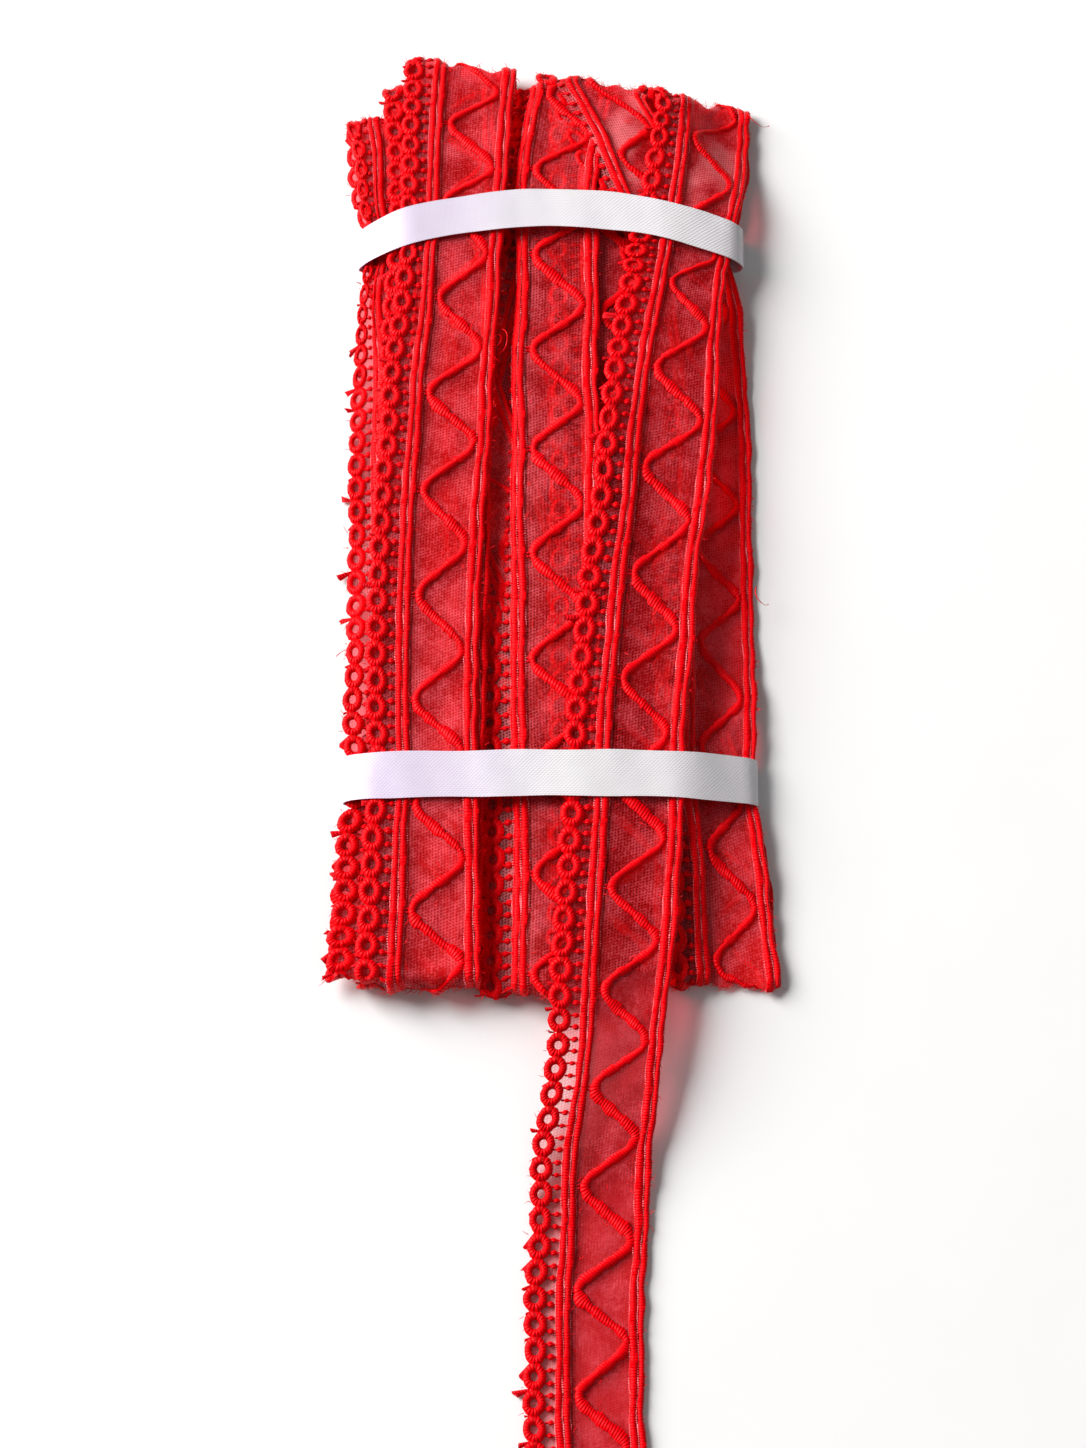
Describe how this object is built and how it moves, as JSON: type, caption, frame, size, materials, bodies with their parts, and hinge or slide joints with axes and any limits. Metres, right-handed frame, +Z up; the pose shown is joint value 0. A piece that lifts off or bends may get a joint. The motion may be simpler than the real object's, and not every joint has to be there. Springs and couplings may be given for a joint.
{
  "type": "embroidered lace trim",
  "caption": "Narrow sheer trim with embroidered zigzag, corded rails and a scalloped ring edge, wound flat into a long bundle held by two satin bands, with a loose tail.",
  "frame": {"origin": "middle of the wound bundle's underside, on the surface it lies on", "axes": "+Y along the bundle, away from the loose tail; +X across it, towards the side that the tail's column starts on; +Z up, out of the face that shows the embroidery"},
  "size_m": [0.1386, 0.4733, 0.0155],
  "materials": {
    "lace_red": "satin thread on sheer organza",
    "satin_white": "satin"
  },
  "bodies": {
    "root": {"trim": "lace_red", "band_upper": "satin_white", "band_lower": "satin_white"}
  },
  "joints": []
}
